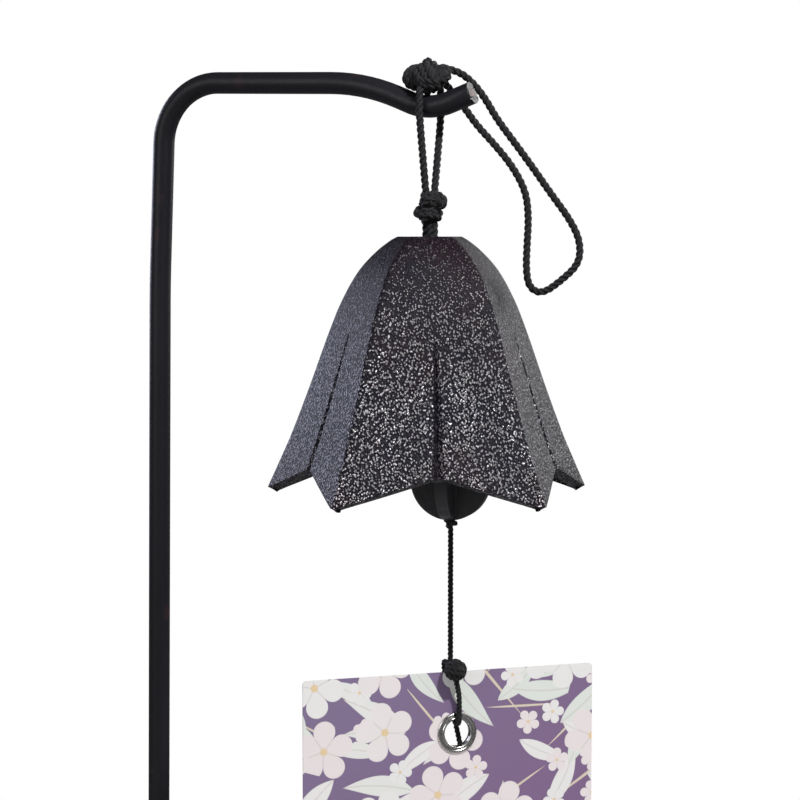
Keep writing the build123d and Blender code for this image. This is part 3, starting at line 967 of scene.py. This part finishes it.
def rim_depth(side_share):
    """How far down a facet reaches at a share of the way from its middle to its ridge."""
    straight_share = 0.87
    notch = bell_height - notch_rise
    shoulder = bell_height - shoulder_rise
    if side_share <= straight_share:
        return notch + (shoulder - notch) * side_share / straight_share
    end = min(1, (side_share - straight_share) / (1 - straight_share))
    return shoulder + shoulder_rise * (1 - (1 - end) ** 2)


def facet_columns():
    """Places across one facet: shares of the groove's half width and of the way to the ridge."""
    half = [(share, 0) for share in (0, 0.5, groove_lip_share, 1.15, 1.5)]
    half += [(1.5, step / 6) for step in range(1, 7)]
    return [(-groove, -way) for groove, way in half[:0:-1]] + half


def bell_ring(level):
    """All points round the bell at a share of the way from its cap's edge to its rim."""
    ring = []
    for petal in range(petals):
        middle = bell_yaw + half_petal + petal_turn * petal
        out = Vector((math.cos(middle), math.sin(middle), 0))
        side = Vector((-math.sin(middle), math.cos(middle), 0))
        for groove, way in facet_columns():
            sign = -1 if groove < 0 or way < 0 else 1
            depth = level * rim_depth(abs(way))
            radius = ridge_radius(depth)
            reach = radius * math.sin(half_petal) - ridge_round
            opened = max(0, min(1, (depth - groove_start) / (bell_height - groove_start)))
            half_width = groove_half_width_top
            half_width += (groove_half_width_rim - groove_half_width_top) * opened
            half_width *= groove_left_share if sign < 0 else 1
            fade = max(0, min(1, (depth - groove_start) / groove_fade))
            set_in = groove_start_share + (1 - groove_start_share) * opened
            sunk = set_in * groove_depth_rim * fade**2 * (3 - 2 * fade)
            sunk *= max(0, 1 - abs(groove))
            if abs(groove) == groove_lip_share:
                sunk += groove_lip_sink * fade
            place = abs(groove) * half_width
            place += (reach - place) * abs(way)
            apothem = radius * math.cos(half_petal)
            point = out * (apothem - sunk) + side * sign * place
            ring.append(point - Vector((0, 0, depth)))
        # the rounded ridge, between this facet's edge and the next one's
        depth = level * bell_height
        radius = ridge_radius(depth)
        apothem = radius * math.cos(half_petal)
        reach = radius * math.sin(half_petal) - ridge_round
        start = out * apothem + side * reach
        turn = Matrix.Rotation(petal_turn, 3, "Z")
        end = turn @ (out * apothem - side * reach)
        corner = out * apothem + side * radius * math.sin(half_petal)
        for share in (0.25, 0.5, 0.75):
            bend = start.lerp(corner, share).lerp(corner.lerp(end, share), share)
            ring.append(bend - Vector((0, 0, depth)))
    return ring


def cap_ring(share, drop=0.0):
    """A ring on the flat cap, from its edge at share 1 to the round hole at share 0."""
    ring = []
    for point in bell_ring(0):
        flat = Vector((point.x, point.y, 0))
        hole = flat.normalized() * cap_hole_radius
        ring.append(hole.lerp(flat, share) - Vector((0, 0, drop)))
    return ring


def make_bell():
    """One ring drawn round the hole, pulled out over the cap and down to the rim, thickened."""
    levels = 60
    first_level = 0.012

    def key(place):
        return tuple(round(value, 4) for value in place)

    rings = [cap_ring(share) for share in (0, 0.12, 0.3, 0.55, 0.8, 0.9)]
    rings += [cap_ring(0.965, 0.05), cap_ring(1.0, 0.22)]
    for index in range(levels + 1):
        rings.append(bell_ring(first_level + (1 - first_level) * index / levels))
    deselect()
    bpy.ops.mesh.primitive_circle_add(vertices=len(rings[0]), radius=1)
    bell = bpy.context.object
    bell.name = "iron_bell"
    for vertex, place in zip(bell.data.vertices, rings[0]):
        vertex.co = place
    with editing(bell):
        for here, there in zip(rings, rings[1:]):
            columns = {key(place): index for index, place in enumerate(here)}
            bpy.ops.mesh.extrude_region_move()
            edit = bmesh.from_edit_mesh(bell.data)
            for vertex in edit.verts:
                if vertex.select:
                    vertex.co = there[columns[key(vertex.co)]]
            bmesh.update_edit_mesh(bell.data)
        bpy.ops.mesh.select_all(action="SELECT")
        bpy.ops.mesh.normals_make_consistent(inside=False)
    bell.scale = (mm, mm, mm)
    bell.location = hang_point
    settle(bell)
    apply_modifier(bell, "SOLIDIFY", thickness=bell_wall * mm, offset=-1, use_even_offset=True)
    soften(bell, rim_round * mm, 3, 65)
    shade(bell, 40)
    dress(bell, "bell", "bell_iron", iron, "bell")


# Clapper

def boolean(piece, cutter, operation):
    apply_modifier(piece, "BOOLEAN", operation=operation, object=cutter, solver="EXACT")
    bpy.data.objects.remove(cutter)


def cylinder(name, radius, depth, centre, turn=(0, 0, 0), sides=64):
    deselect()
    bpy.ops.mesh.primitive_cylinder_add(
        vertices=sides, radius=radius, depth=depth, location=centre, rotation=turn
    )
    made = bpy.context.object
    made.name = name
    settle(made)
    return made


def make_clapper():
    """Two round plates crossed on a hub, cast in one, with softened edges."""
    _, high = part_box("clapper")
    radius = 9.5 * mm
    centre = Vector((string_x, 0, high.z - radius))
    turn = math.radians(9)
    plate = 3.0 * mm
    hub_radius = 2.4 * mm
    hub_length = 18.4 * mm
    bore_radius = 0.75 * mm
    clapper = cylinder("crossed_clapper", radius, plate, centre, (math.pi / 2, 0, turn), 96)
    other = cylinder("plate", radius, plate, centre, (math.pi / 2, 0, turn + math.pi / 2), 96)
    boolean(clapper, other, "UNION")
    boolean(clapper, cylinder("hub", hub_radius, hub_length, centre, sides=48), "UNION")
    boolean(clapper, cylinder("bore", bore_radius, 30 * mm, centre, sides=32), "DIFFERENCE")
    with editing(clapper):
        bpy.ops.mesh.remove_doubles(threshold=merge_distance)
    soften(clapper, 0.4 * mm, 3, 40)
    shade(clapper, 40)
    dress(clapper, "clapper", "clapper_iron", gloss_iron, "clapper")


# Stand

rod_radius = 2.65 * mm
tip_round = 0.3 * mm
base_round = 1.5 * mm
foot_round = 0.3 * mm


def bent_line(corners, radii):
    """Straight runs joined by arcs that touch them, one radius for each inner corner."""
    step = math.radians(3)
    line = [corners[0]]
    for before, corner, after, radius in zip(corners, corners[1:], corners[2:], radii):
        back = (before - corner).normalized()
        ahead = (after - corner).normalized()
        half = back.angle(ahead) / 2
        start = corner + back * radius / math.tan(half)
        middle = corner + (back + ahead).normalized() * radius / math.sin(half)
        axis = (start - middle).cross(corner - start)
        turn = math.pi - 2 * half
        steps = max(2, round(turn / step))
        for index in range(steps + 1):
            spin = Matrix.Rotation(turn * index / steps, 3, axis)
            line.append(middle + spin @ (start - middle))
    line.append(corners[-1])
    return line


def make_rod():
    """The bent rod, its tip sawn square and left bare."""
    low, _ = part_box("stand_rod")
    corners = [
        Vector((low.x + rod_radius, 0, low.z)),
        above_cap(-74.0, 0, -12.0),
        above_cap(-72.0, 0, 38.0),
        above_cap(-16.9, 0, 36.4),
        above_cap(-0.2, 0, 29.45),
        above_cap(10.8, 0, 33.4),
    ]
    bend_radii = (300 * mm, 15 * mm, 50 * mm, 14 * mm)
    line = bent_line(corners, bend_radii)
    deselect()
    bpy.ops.curve.primitive_nurbs_path_add()
    rod = bpy.context.object
    rod.name = "bent_rod"
    rod.data.splines.clear()
    spline = rod.data.splines.new("POLY")
    spline.points.add(len(line) - 1)
    for point, place in zip(spline.points, line):
        point.co = (*place, 1)
    rod.data.bevel_depth = rod_radius
    rod.data.bevel_resolution = 10
    rod.data.use_fill_caps = True
    bpy.ops.object.convert(target="MESH")
    tip = line[-1]
    ahead = (line[-1] - line[-2]).normalized()

    def sawn(place, normal):
        return (place - tip).length < rod_radius / 2 and normal.dot(ahead) > 0.9

    with editing(rod):
        bpy.ops.mesh.select_mode(type="FACE")
        bpy.ops.mesh.remove_doubles(threshold=merge_distance)
        bpy.ops.mesh.select_all(action="DESELECT")
        edit = bmesh.from_edit_mesh(rod.data)
        for face in edit.faces:
            face.select_set(sawn(face.calc_center_median(), face.normal))
        bmesh.update_edit_mesh(rod.data)
        bpy.ops.mesh.bevel(offset=tip_round, segments=2)
    shade(rod, 50)
    dress(rod, "stand", "stand_paint", satin_paint, "stand_rod")
    rod.data.materials.append(cut_steel)
    for face in rod.data.polygons:
        if sawn(face.center, face.normal):
            face.material_index = 1


def make_base():
    """The round plate with a rounded top edge, its socket for the rod and its screw hole."""
    low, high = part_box("base_plate")
    rod_low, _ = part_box("stand_rod")
    centre = (low + high) / 2
    post = Vector((rod_low.x + rod_radius, 0, 0))
    radius = (high.x - low.x) / 2
    plate = cylinder("round_base", radius, high.z - low.z, centre, sides=160)
    bevel_edges(plate, lambda *ends: min(end.z for end in ends) > centre.z, base_round, 6)
    socket = post + Vector((0, 0, high.z))
    hole = post + Vector((0, 0, low.z))
    for name, bore_radius, depth, place, sides in (
        ("socket", 2.75, 6, socket, 48),
        ("hole", 1.7, 20, hole, 32),
        ("recess", 3.2, 3.8, hole, 48),
    ):
        bore = cylinder(name, bore_radius * mm, depth * mm, place, sides=sides)
        boolean(plate, bore, "DIFFERENCE")
    shade(plate, 30)
    dress(plate, "stand", "stand_paint", satin_paint, "base_plate")


def make_foot():
    low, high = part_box("base_foot")
    radius = (high.x - low.x) / 2
    foot = cylinder("foot_pad", radius, high.z - low.z, (low + high) / 2, sides=160)
    soften(foot, foot_round, 2, 60)
    shade(foot, 30)
    dress(foot, "stand", "foot_rubber", foot_rubber, "base_foot")


def dress_screw():
    """The screw is the frame's own, in plain steel."""
    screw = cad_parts["base_screw"]
    screw.data.materials.clear()
    screw.data.materials.append(plain_steel)


make_bell()
make_clapper()
make_rod()
make_base()
make_foot()
dress_screw()


# Card strip

def strip_at(x, y, z):
    """A place in the strip's own directions, in mm: along its width, back through it, and up."""
    return string_point + Matrix.Rotation(strip_yaw, 3, "Z") @ Vector((x, y, z)) * mm


def make_strip_knot():
    centre = strip_at(0.9, -1.15, -102.8)
    wraps = [
        wrap_points(centre, 2.05, (0.2, 0.3, 1.0), 2.6, 1.0, 2.4, 0.8),
        wrap_points(centre, 2.1, (0.8, -0.3, 0.6), 1.7, 3.0, 1.6, 0.8),
        wrap_points(centre, 2.1, (-0.6, 0.9, 0.5), 1.4, 2.0, 1.0, 0.8),
    ]
    apart = 0.3 * mm
    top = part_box("strip_string")[0].z - apart
    stub = rope("stub", straight(string_x, 0, top, centre.z), string_diameter)
    ball_knot = knot("strip_tie", [(centre, 2.3)], wraps, string_diameter)
    ball_knot = join_pieces([ball_knot, stub], "strip_tie")
    dress(ball_knot, "strip_loop", "string_black", string_black, "strip_knot")


strip_loop_route = [
    strip_at(*place)
    for place in (
        (0.9, -1.15, -105.05), (2.1, -0.35, -108.2), (2.3, 0.1, -112.4), (2.3, 0.1, -115.6),
        (2.3, 0.9, -116.3), (2.3, 3.1, -116.3), (2.3, 3.9, -115.6), (2.3, 3.9, -109.0),
        (2.1, 3.9, -103.4), (1.3, 3.3, -101.9), (0.9, 0.9, -101.7),
    )
]


def make_strip_loop():
    path = spline_points(strip_loop_route)
    loop = rope("eyelet_string", path, string_diameter)
    dress(loop, "strip_loop", "string_black", string_black, "strip_loop")


def make_string_tail():
    route = [
        strip_at(*place)
        for place in (
            (-0.3, 0.9, -101.4), (-0.2, 3.2, -101.3), (0.1, 5.3, -102.3),
            (1.1, 5.3, -108.5), (2.9, 5.3, -115.35), (4.7, 5.3, -123.6),
        )
    ]
    tail = rope("cut_tail", spline_points(route), string_diameter)
    dress(tail, "strip_loop", "string_black", string_black, "string_tail")


def make_card():
    """The stiff card with rounded corners and a round hole behind the eyelet."""
    corner_round = 1.0 * mm
    hole_radius = 3.7 * mm
    middle = ((strip_left + strip_right) / 2, strip_middle, (strip_top + strip_bottom) / 2)
    deselect()
    bpy.ops.mesh.primitive_cube_add(size=1)
    card = bpy.context.object
    card.name = "card_strip"
    card.scale = Vector((strip_right - strip_left, strip_back - strip_front, strip_length)) * mm
    settle(card)
    bevel_edges(card, lambda one, other: abs(one.y - other.y) > 0.1 * mm, corner_round, 6)
    card.location = strip_at(*middle)
    card.rotation_euler.z = strip_yaw
    settle(card)
    centre = strip_at(eyelet_side, strip_middle, eyelet_z)
    hole = cylinder("hole", hole_radius, 4 * mm, centre, (math.pi / 2, 0, strip_yaw), 64)
    boolean(card, hole, "DIFFERENCE")
    shade(card, 30)
    dress(card, "strip", "card", printed_card, "paper_strip")


def turned_ring(name, node, profile):
    """A ring spun round the eyelet's axis from (radius, depth through the strip) places, in mm."""
    deselect()
    bpy.ops.mesh.primitive_circle_add(vertices=len(profile), radius=1)
    ring = bpy.context.object
    ring.name = name
    for vertex, (radius, depth) in zip(ring.data.vertices, profile):
        vertex.co = Vector((radius, depth, 0)) * mm
    with editing(ring):
        bpy.ops.mesh.spin(steps=96, angle=2 * math.pi, center=(0, 0, 0), axis=(0, 1, 0))
        bpy.ops.mesh.select_all(action="SELECT")
        bpy.ops.mesh.remove_doubles(threshold=merge_distance / 2)
        bpy.ops.mesh.normals_make_consistent(inside=False)
    ring.location = strip_at(eyelet_side, 0, eyelet_z)
    ring.rotation_euler.z = strip_yaw
    settle(ring)
    shade(ring, 50)
    dress(ring, "strip", "nickel", nickel, node)


def make_eyelet():
    """A rolled ring with two steps in front, a barrel through the card and a lip behind."""
    turned_ring(
        "spun_eyelet", "eyelet",
        (
            (5.0, 1.74), (5.0, 1.56), (4.9, 1.32), (4.7, 1.16), (4.45, 1.10), (4.25, 1.16),
            (4.12, 1.30), (4.02, 1.36), (3.92, 1.22), (3.82, 1.02), (3.65, 0.92), (3.48, 0.95),
            (3.33, 1.10), (3.25, 1.35), (3.25, 2.55), (3.3, 2.82), (3.5, 3.02), (3.8, 3.1),
            (4.15, 3.02), (4.4, 2.82), (4.5, 2.58), (3.6, 2.56), (3.6, 1.76),
        ),
    )


def make_washer():
    turned_ring(
        "spun_eyelet_washer", "eyelet_washer",
        (
            (3.7, 2.26), (4.9, 2.26), (5.0, 2.33), (5.0, 2.47), (4.9, 2.55), (3.85, 2.55),
            (3.7, 2.5),
        ),
    )


make_strip_knot()
make_strip_loop()
make_string_tail()
make_card()
make_eyelet()
make_washer()
